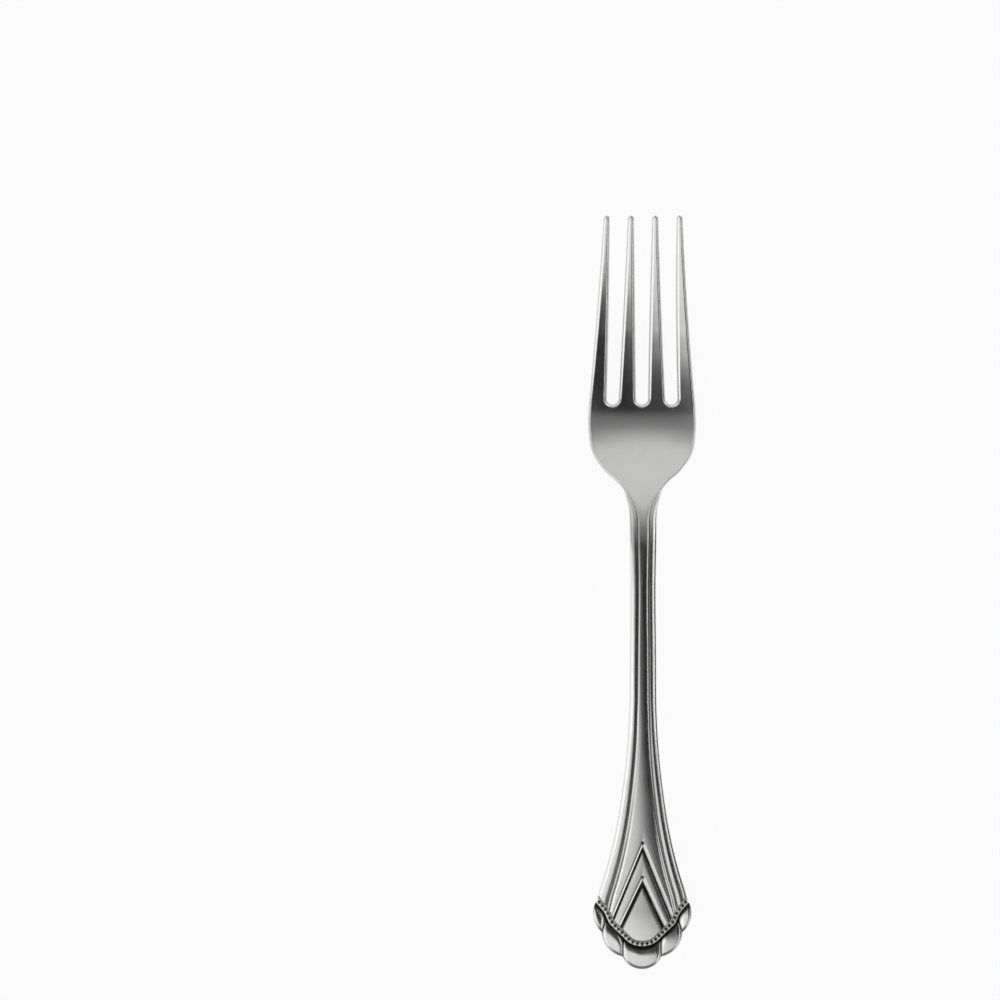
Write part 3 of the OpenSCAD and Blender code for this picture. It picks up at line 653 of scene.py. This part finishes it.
    def scallop_grid(self, k):
        """Places over a scallop: straight lines from its outer arc to the border's outer edge."""
        centre, radius, out, way, turn = self.arcs[k]
        u = np.linspace(0, 1, SCALLOP_COLUMNS + 1)
        line = self.border_outer if k == 0 else right_side(self.border_outer)
        ends = [share_in * self.end_width / 2 for share_in in CREASE_ENDS]
        if k == 2:
            end = line[np.argmax(line[:, 0] >= self.half_width(line[:, 1]) - RIM_CLEAR)]
            angle = math.atan2(np.dot(end - centre, way), np.dot(end - centre, out))
            start_x, end_x, turns = ends[1], end[0], mix(-turn, angle, u)
        else:
            start_x, end_x = ((-ends[0], ends[0]), (ends[0], ends[1]))[k]
            turns = mix(-turn, turn, u)
        arc = centre + radius * (out * np.cos(turns)[:, None] + way * np.sin(turns)[:, None])
        first, last = np.interp([start_x, end_x], line[:, 0], lengths(line))
        inner = points_at(mix(first, last, u), line)
        v = mix(np.linspace(0, 1, SCALLOP_ROWS + 1), cosine_steps(SCALLOP_ROWS), ROW_CROWDING)
        v = v[:, None, None]
        grid = mix(arc[None], inner[None], v)
        creases = [(arc[0], inner[0]), (arc[-1], inner[-1])][:1 if k == 2 else 2]
        return grid[..., 0], grid[..., 1], creases

    def rim_distance(self, k, x, s):
        """Distance from a scallop's outer arc: its radius less the distance from its centre."""
        centre, radius = self.arcs[k][:2]
        return radius - np.hypot(x - centre[0], s - centre[1])

    def crease_distance(self, creases, x, s):
        """Distance from the nearest of a scallop's straight sides that meet another scallop."""
        gaps = []
        for a, b in creases:
            way = (b - a) / np.linalg.norm(b - a)
            gaps.append(np.abs((x - a[0]) * way[1] - (s - a[1]) * way[0]))
        return np.min(gaps, axis=0)

    def past_border(self, x, s):
        """Distance outwards from the outer edge of the border's strip."""
        return self.to_border(x, s) - self.strip_width / 2

    def scallop_top(self, k, creases, x, s):
        """Top of a scallop: a pillow that rises from the border along a quarter circle, falls gently
        to the outer edge, dips at its sides and turns down by a parabola along its rim. The two at
        the sides lean inwards evenly."""
        rim = self.rim_distance(k, x, s)
        from_border = np.maximum(self.past_border(x, s), 0)
        lift, rise, run = PILLOW
        pillow = self.scallop_rise + lift - rise * rounding(from_border / run)
        slope = -SCALLOP_SLOPE[0] * (1 - ease(rim, 0, SCALLOP_SLOPE[1]))
        least, growth, width = SIDE_NEAR
        near = np.clip(least + growth * (1 - rounding(from_border / width)), 0, 1)
        side = self.crease_distance(creases, x, s)
        sides = -SCALLOP_SIDE[0] * rounding(side / SCALLOP_SIDE[1]) * near
        lean = SIDE_LEAN[0] * (x - SIDE_LEAN[1]) if k == 2 else 0
        return self.crown(s) + pillow + slope + sides + falls(rim, SCALLOP_ROLL) + lean

    def end_bottom(self, side, s, under):
        """Underside of the end: the bottom line, cut flat at the pad, with its outer edge rounded to
        a given rise and width."""
        rise, width = under
        return np.maximum(self.bottom_line(s), 0) + rise * rounding(side / width)


# Meshes

def sheet_normals(height, x, s, way):
    """Normals of a sheet over the plan: square to its slopes, which come from the heights a small
    step to each side. way is 1 for a top and -1 for an underside."""
    step = 0.01
    across = (height(x + step, s) - height(x - step, s)) / (2 * step)
    along = (height(x, s + step) - height(x, s - step)) / (2 * step)
    n = np.stack([-across, -along, np.ones_like(x)], axis=-1) * way
    return n / np.linalg.norm(n, axis=-1, keepdims=True)


def quads(a, b, c, d):
    """Four-sided faces from the grids of their corners."""
    return np.stack([a, b, c, d], axis=-1).reshape(-1, 4)


def slab_faces(rows, columns):
    """Faces of a closed slab: a grid on top, the same grid turned over below, and four walls."""
    size = rows * columns
    index = np.arange(size).reshape(rows, columns)
    a, b, c, d = index[:-1, :-1], index[:-1, 1:], index[1:, 1:], index[1:, :-1]
    edges = index[:, 0], index[::-1, -1], index[0, ::-1], index[-1]
    return np.concatenate([quads(a, b, c, d), quads(d, c, b, a) + size]
                          + [quads(e[:-1], e[1:], e[1:] + size, e[:-1] + size) for e in edges])


def placed(fork, x, s, z):
    """Points in metres from places across and along the fork and heights in millimetres."""
    return np.stack([x, s - fork.fork_length / 2, z], axis=-1).reshape(-1, 3) * MM


def slab(fork, x, s, top, bottom, recess=None):
    """Points, normals, faces and painted shade values of a closed slab between two height functions."""
    s = np.broadcast_to(s, x.shape)
    points = np.concatenate([placed(fork, x, s, height(x, s)) for height in (top, bottom)])
    normals = np.concatenate([sheet_normals(height, x, s, way).reshape(-1, 3)
                              for height, way in ((top, 1), (bottom, -1))])
    painted_shade_values = np.zeros(2 * x.size)
    if recess is not None:
        painted_shade_values[:x.size] = np.ravel(recess(x, s))
    return points, normals, slab_faces(*x.shape), painted_shade_values


def joined(parts):
    """Several sets of points, normals, faces and painted shade values as one."""
    starts = np.cumsum([0] + [len(points) for points, *_ in parts[:-1]])
    moved = [(points, normals, faces + start, painted_shade_values)
             for (points, normals, faces, painted_shade_values), start in zip(parts, starts)]
    return [np.concatenate(group) for group in zip(*moved)]


def mirrored(part):
    """The same shape on the other side of the fork, with its faces turned to point outwards."""
    points, normals, faces, painted_shade_values = part
    flip = np.array([-1, 1, 1])
    return points * flip, normals * flip, faces[:, ::-1], painted_shade_values


def put(node, part):
    """Makes the object of a piece, gives it its steel, and lets it stand for its CAD node."""
    points, normals, faces, painted_shade_values = part
    name = "fork_" + node
    old = bpy.data.objects.get(name)
    if old is not None:
        bpy.data.objects.remove(old)
    mesh = bpy.data.meshes.new(name)
    mesh.vertices.add(len(points))
    mesh.vertices.foreach_set("co", points.ravel())
    mesh.loops.add(faces.size)
    mesh.loops.foreach_set("vertex_index", faces.ravel().astype(np.int32))
    mesh.polygons.add(len(faces))
    mesh.polygons.foreach_set("loop_start", np.arange(len(faces), dtype=np.int32) * 4)
    mesh.update(calc_edges=True)
    mesh.polygons.foreach_set("use_smooth", np.full(len(faces), True))
    # each point's painted shade, which the steel reads to darken its colour
    attribute = mesh.attributes.new("recess", "FLOAT", "POINT")
    attribute.data.foreach_set("value", np.clip(painted_shade_values, 0, 1).astype(np.float32))
    mesh.normals_split_custom_set_from_vertices(normals.tolist())
    mesh.materials.append(steel_material())
    piece = bpy.data.objects.new(name, mesh)
    bpy.context.scene.collection.objects.link(piece)
    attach(piece, "root")
    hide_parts(node)


# Materials

class Value:
    """A socket whose arithmetic adds Math nodes."""

    def __init__(self, graph, socket):
        self.graph, self.socket = graph, socket

    def math(self, operation, *others):
        return self.graph.math(operation, self, *others)

    def __add__(self, other):
        return self.graph.math("ADD", self, other)

    def __radd__(self, other):
        return self.graph.math("ADD", other, self)

    def __sub__(self, other):
        return self.graph.math("SUBTRACT", self, other)

    def __rsub__(self, other):
        return self.graph.math("SUBTRACT", other, self)

    def __mul__(self, other):
        return self.graph.math("MULTIPLY", self, other)

    def __rmul__(self, other):
        return self.graph.math("MULTIPLY", other, self)

    def __truediv__(self, other):
        return self.graph.math("DIVIDE", self, other)

    def beside(self, output):
        """Another output of the same node."""
        return Value(self.graph, self.socket.node.outputs[output])

    def held(self):
        """This value, no less than 0 and no more than 1."""
        return self.math("MAXIMUM", 0.0).math("MINIMUM", 1.0)

    def ease(self, low, high):
        """Rises from 0 to 1 with flat ends as this value goes from low to high."""
        t = ((self - low) / (high - low)).held()
        return t * t * (3 - 2 * t)


class Graph:
    """A node tree that is written as expressions."""

    def __init__(self, tree):
        self.tree = tree
        tree.nodes.clear()

    def add(self, kind, inputs=None, output=0, **settings):
        """Adds a node: its settings first, then the values or links of its sockets. It gives one of
        the node's outputs."""
        node = self.tree.nodes.new(kind)
        for name, value in settings.items():
            setattr(node, name, value)
        for name, value in (inputs or {}).items():
            if isinstance(value, Value):
                self.tree.links.new(value.socket, node.inputs[name])
            else:
                node.inputs[name].default_value = value
        return Value(self, node.outputs[output]) if node.outputs else None

    def math(self, operation, *terms):
        """A Math node on values or numbers."""
        return self.add("ShaderNodeMath", dict(enumerate(terms)), operation=operation)

    def blend(self, share_in, a, b):
        """The colour a share of the way from a to b."""
        return self.add("ShaderNodeMix", {0: share_in, 6: a, 7: b}, 2, data_type="RGBA")

    def noise(self, place, scale, detail, stretch=(1.0, 1.0, 1.0)):
        """Noise from 0 to 1 at a scale in cells for each metre, stretched along an axis."""
        spread = self.add("ShaderNodeMapping", {"Vector": place, "Scale": stretch})
        return self.add("ShaderNodeTexNoise", {
            "Vector": spread, "Scale": scale, "Detail": detail, "Roughness": 0.6}, "Fac")

    def bump(self, height, strength, distance, **normal):
        """Normals tilted by a height, on top of other normals if these are given."""
        return self.add("ShaderNodeBump", {
            "Height": height, "Strength": strength, "Distance": distance, **normal})


# Cells of noise for each metre in the steel, and the stretch of the hairlines along the fork
CLOUD_SCALE, GRAIN_SCALE, HAIRLINE_SCALE, HAIRLINE_STRETCH = 220.0, 3200.0, 9000.0, (1.0, 0.03, 1.0)
GRAIN_HEIGHT, HAIRLINE_HEIGHT = 0.00012, 0.00006    # metres
CLOUD_ON_SHADE = (0.3, 0.14)  # how much the cloud changes the painted shade in a groove, and the steel's tone everywhere
CLOUD_ON_POLISH, HAIRLINE_ON_POLISH = 0.07, 0.05
PAPER_WHITE = 0.92     # how much of the paper is plain white to a direct look


def steel_material():
    """Polished steel: hand polish with a fine unevenness, hairlines along the fork, a cloudy tone that
    differs at random, and painted shade in the grooves, creases and on the bead tops, where it is also
    duller."""
    name = "polished_fork_steel"
    material = bpy.data.materials.get(name)
    if material is not None:
        return material
    finish = bpy.context.scene.fork_finish
    material = bpy.data.materials.new(name)
    material.use_nodes = True
    graph = Graph(material.node_tree)
    place = graph.add("ShaderNodeTexCoord", output="Object")
    recess = graph.add("ShaderNodeAttribute", output="Fac", attribute_name="recess")
    cloud = graph.noise(place, CLOUD_SCALE, 3.0)
    grain = graph.noise(place, GRAIN_SCALE, 2.0)
    hairline = graph.noise(place, HAIRLINE_SCALE, 2.0, HAIRLINE_STRETCH)
    # the painted shade, mottled by the cloud, with faint random tone from the cloud everywhere: it
    # blends the steel towards the shade colour and dulls it
    painted_shade_and_mottle = (recess + (cloud - 0.5) * (CLOUD_ON_SHADE[0] * recess + CLOUD_ON_SHADE[1])).held()
    steel = graph.blend(painted_shade_and_mottle, (*finish.steel, 1), (*finish.shade, 1))
    polish = (finish.roughness + painted_shade_and_mottle * finish.groove_roughness
              + (cloud - 0.5) * CLOUD_ON_POLISH + (hairline - 0.5) * HAIRLINE_ON_POLISH)
    normal = graph.bump(grain, finish.grain, GRAIN_HEIGHT)
    normal = graph.bump(hairline, finish.scratches, HAIRLINE_HEIGHT, Normal=normal)
    surface = graph.add("ShaderNodeBsdfPrincipled", {
        "Base Color": steel, "Metallic": 1.0, "Roughness": polish, "Normal": normal})
    graph.add("ShaderNodeOutputMaterial", {"Surface": surface})
    return material


def floor_material():
    """White paper: what looks straight at it, or mirrors it, sees it mostly as plain white."""
    material = bpy.data.materials.new("white_paper")
    material.use_nodes = True
    graph = Graph(material.node_tree)
    seen = graph.add("ShaderNodeLightPath", output="Is Camera Ray")
    direct = (seen + seen.beside("Is Glossy Ray") + seen.beside("Is Transmission Ray")).held()
    paper = graph.add("ShaderNodeBsdfDiffuse", {"Color": (0.95, 0.95, 0.95, 1)})
    white = graph.add("ShaderNodeEmission", {"Color": (1, 1, 1, 1), "Strength": 1.0})
    both = graph.add("ShaderNodeMixShader", {0: direct * PAPER_WHITE, 1: paper, 2: white})
    graph.add("ShaderNodeOutputMaterial", {"Surface": both})
    return material


def studio_world():
    """A studio with a dark ceiling. A broad bright screen stands on the left and towards the
    handle's end, with a softer glow beside it, a narrow window on the right and a pale wall beyond
    the tines. Low down it is white all round, as the paper is."""
    world = bpy.data.worlds.get("studio") or bpy.data.worlds.new("studio")
    world.use_nodes = True
    graph = Graph(world.node_tree)
    way = graph.add("ShaderNodeTexCoord", output="Generated")
    x = graph.add("ShaderNodeSeparateXYZ", {"Vector": way})
    y, z = x.beside("Y"), x.beside("Z")
    left, near = -1.0 * x, -1.0 * y

    def rise(degrees):
        return math.sin(math.radians(degrees))

    south = near.ease(rise(42), rise(62))
    screen = (1.6 * (0.65 * left + near).ease(0.31, 0.62)).held() * (1 - 0.85 * south)
    glow = 0.6 * left.ease(0.3, 0.52) * (1 - 0.5 * left.ease(0.6, 0.75))
    window = 1.5 * x.ease(0.5, 0.56) * x.ease(0.74, 0.68)
    wall = 0.2 * y.ease(0.12, 0.3) + 0.6 * y.ease(0.3, 0.8)
    ceiling = 0.008 + 0.05 * x.ease(0.2, 0.0) * (1 - y.ease(0, 0.15))
    upper = ceiling + screen + glow + window + wall
    low = z.ease(rise(20), rise(8)) * (1 - south)
    light = upper * (1 - low) + low
    sky = graph.add("ShaderNodeBackground", {"Color": (1, 1, 1, 1), "Strength": light})
    graph.add("ShaderNodeOutputWorld", {"Surface": sky})
    return world


# Operators

def current_fork():
    """The fork with the sizes of the open scene."""
    return Fork(bpy.context.scene.fork_sizes)


def body_painted_shade(fork):
    """Painted shade on a point of the body, from 0 to 1, dark in the grooves and creases."""
    def recess(x, s):
        # painted shade: a faint line on the broad reed, a dark valley beside it, a line at the field's
        # edge that is there only in the wide part, the chevrons' creases and dark spots at their points
        rim, reed, thread = fork.reeds(s)
        d = fork.from_outline(x, s)
        lines = (0.3 * groove(d - 1.4 * rim, FINE_LINE) + groove(d - rim - reed, VALLEY_LINE)
                 + 0.6 * groove(d - rim - reed - thread, FINE_LINE) * fork.wide_share(s))
        marks = fork.apex_mark(x, s)
        for (place, long, span), half_crease in zip(fork.chevrons(), CREASES):
            q = fork.chevron_line(np.hypot(x, APEX_ROUND), s, place, long, span)
            marks = marks + 1.8 * bell(q + CHEVRON_BAR + half_crease, half_crease * 1.3)
        return lines * fork.reed_fade(s) + marks
    return recess


def body_piece(fork, node, s):
    """Makes a length of the body, with a row of points at each place s along the fork."""
    x = fork.body_columns(s)
    put(node, slab(fork, x, s[:, None], fork.top, fork.bottom, body_painted_shade(fork)))


def stretch(start, end, steps):
    """Places from start to end in equal steps."""
    return np.linspace(start, end, steps + 1)


class FORK_OT_tines(bpy.types.Operator):
    """Builds the four tines with their round slot ends and rounded tips"""
    bl_idname = "fork.tines"
    bl_label = "Tines"

    def execute(self, context):
        fork = current_fork()
        nose = fork.tine_tip_width / 2
        root_end = fork.slot_end + fork.slot_radius
        tip_start = fork.fork_length - nose
        root = fork.slot_end + fork.slot_radius * (1 - np.cos(np.pi / 2 * np.linspace(0, 1, 15)))
        tip = tip_start + nose * np.sin(np.radians(88) * np.linspace(0, 1, 11))
        stations = np.concatenate([root, stretch(root_end, tip_start, 60)[1:], tip[1:]])[:, None]
        local = cosine_steps(TINE_COLUMNS)[None]
        for step, name in zip((-1.5, -0.5, 0.5, 1.5), (
                "tine_outer_left", "tine_inner_left", "tine_inner_right", "tine_outer_right")):
            left, right = fork.tine_sides(step, stations)
            part = slab(fork, mix(left, right, local), stations,
                        lambda x, s: fork.tine_height(step, x, s, 1),
                        lambda x, s: fork.tine_height(step, x, s, -1))
            put(name, part)
        return {"FINISHED"}


class FORK_OT_head(bpy.types.Operator):
    """Builds the dished head from the shoulders to the slot ends"""
    bl_idname = "fork.head"
    bl_label = "Head"

    def execute(self, context):
        fork = current_fork()
        body_piece(fork, "head", stretch(fork.shoulder, fork.slot_end, 110))
        return {"FINISHED"}


class FORK_OT_neck(bpy.types.Operator):
    """Builds the neck, from the waist of the stem to the shoulders"""
    bl_idname = "fork.neck"
    bl_label = "Neck"

    def execute(self, context):
        fork = current_fork()
        body_piece(fork, "neck", stretch(fork.waist, fork.shoulder, 34))
        return {"FINISHED"}


class FORK_OT_stem(bpy.types.Operator):
    """Builds the slim reeded stem"""
    bl_idname = "fork.stem"
    bl_label = "Stem"

    def execute(self, context):
        fork = current_fork()
        body_piece(fork, "stem", stretch(fork.stem_start, fork.waist, 40))
        return {"FINISHED"}


class FORK_OT_flare(bpy.types.Operator):
    """Builds the widening grip with its threads and plain field"""
    bl_idname = "fork.flare"
    bl_label = "Handle flare"

    def execute(self, context):
        fork = current_fork()
        stations = np.concatenate([stretch(fork.panel_low, fork.panel_top, 125),
                                   stretch(fork.panel_top, fork.stem_start, 70)[1:]])
        body_piece(fork, "handle_flare", stations)
        return {"FINISHED"}


class FORK_OT_end_panel(bpy.types.Operator):
    """Builds the panel between the flare and the bead border"""
    bl_idname = "fork.end_panel"
    bl_label = "End panel"

    def execute(self, context):
        fork = current_fork()
        start = fork.border_low + fork.strip_width / 2
        stations = mix(start, fork.panel_low, stretch(0, 1, 110) ** 1.4)
        body_piece(fork, "end_panel", stations)
        return {"FINISHED"}


class FORK_OT_chevrons(bpy.types.Operator):
    """Builds the two raised chevron bars"""
    bl_idname = "fork.chevrons"
    bl_label = "Chevrons"

    def execute(self, context):
        fork = current_fork()
        for (place, long, span), name in zip(fork.chevrons(), ("chevron_outer", "chevron_inner")):
            half = span / 2
            q = np.linspace(BAR_KNOTS[0][0], BAR_KNOTS[-1][0], BAR_ROWS)[:, None]
            t = np.linspace(-BAR_RUN, BAR_RUN, BAR_COLUMNS)[None]
            x = np.broadcast_to(t * half, (q.size, t.size))
            s = place + q * math.hypot(long, half) / half - np.abs(t) * long

            def top(x, s):
                base = fork.top(x, s) - fork.chevron_creases(x, s)
                clear = -fork.to_border(x, s) - fork.strip_width / 2
                bar = follow(BAR_KNOTS, fork.chevron_line(x, s, place, long, span))
                return base + mix(-BAR_SINK, bar, ease(clear, *BAR_CUT))

            # painted shade on the bar's inner side and at the chevron's point
            def recess(x, s):
                line = fork.chevron_line(x, s, place, long, span)
                return ease(-line, *BAR_PAINTED_SHADE) + fork.apex_mark(x, s)

            part = slab(fork, x, s, top, lambda x, s: fork.crown(s) - BAR_DEPTH, recess)
            put(name, part)
        return {"FINISHED"}


class FORK_OT_border(bpy.types.Operator):
    """Builds the curved border: its strip and its row of beads"""
    bl_idname = "fork.border"
    bl_label = "Bead border"

    def execute(self, context):
        fork = current_fork()
        offsets = fork.strip_width / 2 * np.sin(np.pi / 2 * np.linspace(-1, 1, STRIP_ROWS))
        rows = []
        # the rows run inwards, from the scallops to the panel, so that they rise along the fork
        for offset in offsets[::-1]:
            right = right_side(fork.beside_border(offset))
            over = right[:, 0] - fork.half_width(right[:, 1])
            k = int(np.argmax(over > 0))
            end = mix(right[k - 1], right[k], over[k - 1] / (over[k - 1] - over[k]))
            right = np.concatenate([right[:k], end[None]])
            side = points_at(np.linspace(0, lengths(right)[-1], STRIP_COLUMNS), right)
            rows.append(np.concatenate([side[:0:-1] * [-1, 1], side]))
        x, s = np.moveaxis(np.stack(rows), -1, 0)

        def bottom(x, s):
            return fork.end_bottom(fork.half_width(s) - np.abs(x), s, STRIP_UNDER)

        def top(x, s):
            side = fork.half_width(s) - np.abs(x)
            return fork.strip_top(x, s) - STRIP_EDGE[0] * rounding(side / STRIP_EDGE[1])

        def recess(x, s):
            # painted shade: faint over the strip, dark along the scallops and in the groove inside the
            # beads, none on the raised line
            q = fork.to_border(x, s)
            return (0.08 + 0.87 * ease(q, 0.45, 0.6) + 0.5 * bell(q + 0.4, 0.08)
                    - 0.08 * bell(q + 0.53, 0.1))

        strip = slab(fork, x, s, top, bottom, recess)
        put("bead_border", joined([strip, self.beads(fork)]))
        return {"FINISHED"}

    def beads(self, fork):
        """A round bead at each equal step of the path: a globe of rings, its rows cosine and sine."""
        path = fork.border_path
        path = path[np.abs(path[:, 0]) - fork.half_width(path[:, 1]) < -BEAD_CLEAR]
        marks = (np.arange(fork.bead_count) + 0.5) / fork.bead_count * lengths(path)[-1]
        x, s = points_at(marks, path).T
        centres = placed(fork, x, s, fork.crown(s) - BEAD_SINK)
        turns = np.linspace(0, 2 * np.pi, 25)[None, :-1]
        rises = np.clip(np.linspace(-np.pi / 2, np.pi / 2, 15), -BEAD_POLE, BEAD_POLE)[:, None]
        ball = np.stack([np.cos(rises) * np.cos(turns), np.cos(rises) * np.sin(turns),
                         np.sin(rises) * np.ones_like(turns)], axis=-1)
        index = np.arange(rises.size * turns.size).reshape(rises.size, turns.size)
        ahead = np.roll(index, -1, axis=1)
        caps = [quads(row[0:-2:2], row[1:-1:2], row[2::2], np.full(turns.size // 2 - 1, row[-1]))
                for row in (index[-1], index[0][::-1])]
        faces = np.concatenate([quads(index[:-1], ahead[:-1], ahead[1:], index[1:]), *caps])
        ball = ball.reshape(-1, 3)
        size = fork.bead_diameter / 2 * MM
        points = (centres[:, None, :] + (ball * [1, 1, BEAD_FLAT])[None] * size).reshape(-1, 3)
        normals = ball * [1, 1, 1 / BEAD_FLAT]
        normals = np.tile(normals / np.linalg.norm(normals, axis=1, keepdims=True), (len(centres), 1))
        starts = np.arange(len(centres)) * len(ball)
        every = (faces[None] + starts[:, None, None]).reshape(-1, 4)
        # each bead's top painted dark, a painted reflection of the dark ceiling
        dark = np.tile(ease(ball[:, 2], *BEAD_PAINTED_REFLECTION), len(centres))
        return points, normals, every, dark


class FORK_OT_scallops(bpy.types.Operator):
    """Builds the five scallops round the end of the handle"""
    bl_idname = "fork.scallops"
    bl_label = "Scallops"

    def execute(self, context):
        fork = current_fork()
        for k, names in enumerate((["scallop_end"], ["scallop_right", "scallop_left"],
                                   ["scallop_side_right", "scallop_side_left"])):
            x, s, creases = fork.scallop_grid(k)

            def top(x, s):
                return fork.scallop_top(k, creases, x, s)

            def bottom(x, s):
                return fork.end_bottom(fork.rim_distance(k, x, s), s, SCALLOP_UNDER)

            def recess(x, s):
                # painted shade: a dark band under the border, dark lines in the creases and along the
                # outer edge
                side = fork.crease_distance(creases, x, s)
                shade = 1.6 * bell(fork.past_border(x, s), mix(*SHADE_WIDTH, ease(side, 0, SHADE_TURN)))
                return (shade + 0.9 * groove(side, CREASE_LINE)
                        + 0.55 * groove(fork.rim_distance(k, x, s), RIM_LINE))

            part = slab(fork, x, s, top, bottom, recess)
            put(names[0], part)
            if k:
                put(names[1], mirrored(part))
        return {"FINISHED"}


# Of the stage, in metres: the floor's half side and its gap below the fork, and the camera's place
# over the fork, which sets the fork right of the picture's middle, as in the photograph
FLOOR_HALF, FLOOR_GAP = 4.0, 0.00005
CAMERA_PLACE, CAMERA_HEIGHT = (-0.0293, 0.01926), 1.1413
CAMERA_LENS, CAMERA_SENSOR = 200.0, 36.0    # millimetres


class FORK_OT_stage(bpy.types.Operator):
    """Sets the floor, the studio light and the camera"""
    bl_idname = "fork.stage"
    bl_label = "Stage"

    def execute(self, context):
        scene = context.scene
        corners = FLOOR_HALF * np.array([[-1, -1, 0], [1, -1, 0], [1, 1, 0], [-1, 1, 0]])
        mesh = bpy.data.meshes.new("floor")
        mesh.from_pydata((corners - [0, 0, FLOOR_GAP]).tolist(), [], [(0, 1, 2, 3)])
        mesh.materials.append(floor_material())
        floor = bpy.data.objects.new("floor", mesh)
        scene.collection.objects.link(floor)
        scene.world = studio_world()
        scene.view_settings.view_transform = "Standard"
        camera = bpy.data.cameras.new("camera")
        camera.lens, camera.sensor_width = CAMERA_LENS, CAMERA_SENSOR
        camera.clip_start, camera.clip_end = 0.05, 20.0
        eye = bpy.data.objects.new("camera", camera)
        middle = (cad_box[0].z + cad_box[1].z) / 2
        eye.location = (*CAMERA_PLACE, middle + CAMERA_HEIGHT)
        scene.collection.objects.link(eye)
        scene.camera = eye
        return {"FINISHED"}


OPERATORS = [FORK_OT_tines, FORK_OT_head, FORK_OT_neck, FORK_OT_stem, FORK_OT_flare,
             FORK_OT_end_panel, FORK_OT_chevrons, FORK_OT_border, FORK_OT_scallops, FORK_OT_stage]


class FORK_PT_panel(bpy.types.Panel):
    """Lists the steps that build the fork"""
    bl_idname = "FORK_PT_panel"
    bl_label = "Pastry Fork"
    bl_space_type = "VIEW_3D"
    bl_region_type = "UI"
    bl_category = "Pastry Fork"

    def draw(self, context):
        for operator in OPERATORS:
            self.layout.operator(operator.bl_idname)
        for group in (context.scene.fork_sizes, context.scene.fork_finish):
            for name in type(group).__annotations__:
                self.layout.prop(group, name)


CLASSES = [ForkSizes, ForkFinish, *OPERATORS, FORK_PT_panel]


def register():
    for item in CLASSES:
        bpy.utils.register_class(item)
    bpy.types.Scene.fork_sizes = bpy.props.PointerProperty(type=ForkSizes)
    bpy.types.Scene.fork_finish = bpy.props.PointerProperty(type=ForkFinish)


def unregister():
    del bpy.types.Scene.fork_sizes
    del bpy.types.Scene.fork_finish
    for item in reversed(CLASSES):
        bpy.utils.unregister_class(item)


def main():
    """Builds the fork."""
    register()
    for operator in OPERATORS:
        group, name = operator.bl_idname.split(".")
        getattr(getattr(bpy.ops, group), name)()


if __name__ == "__main__":
    main()
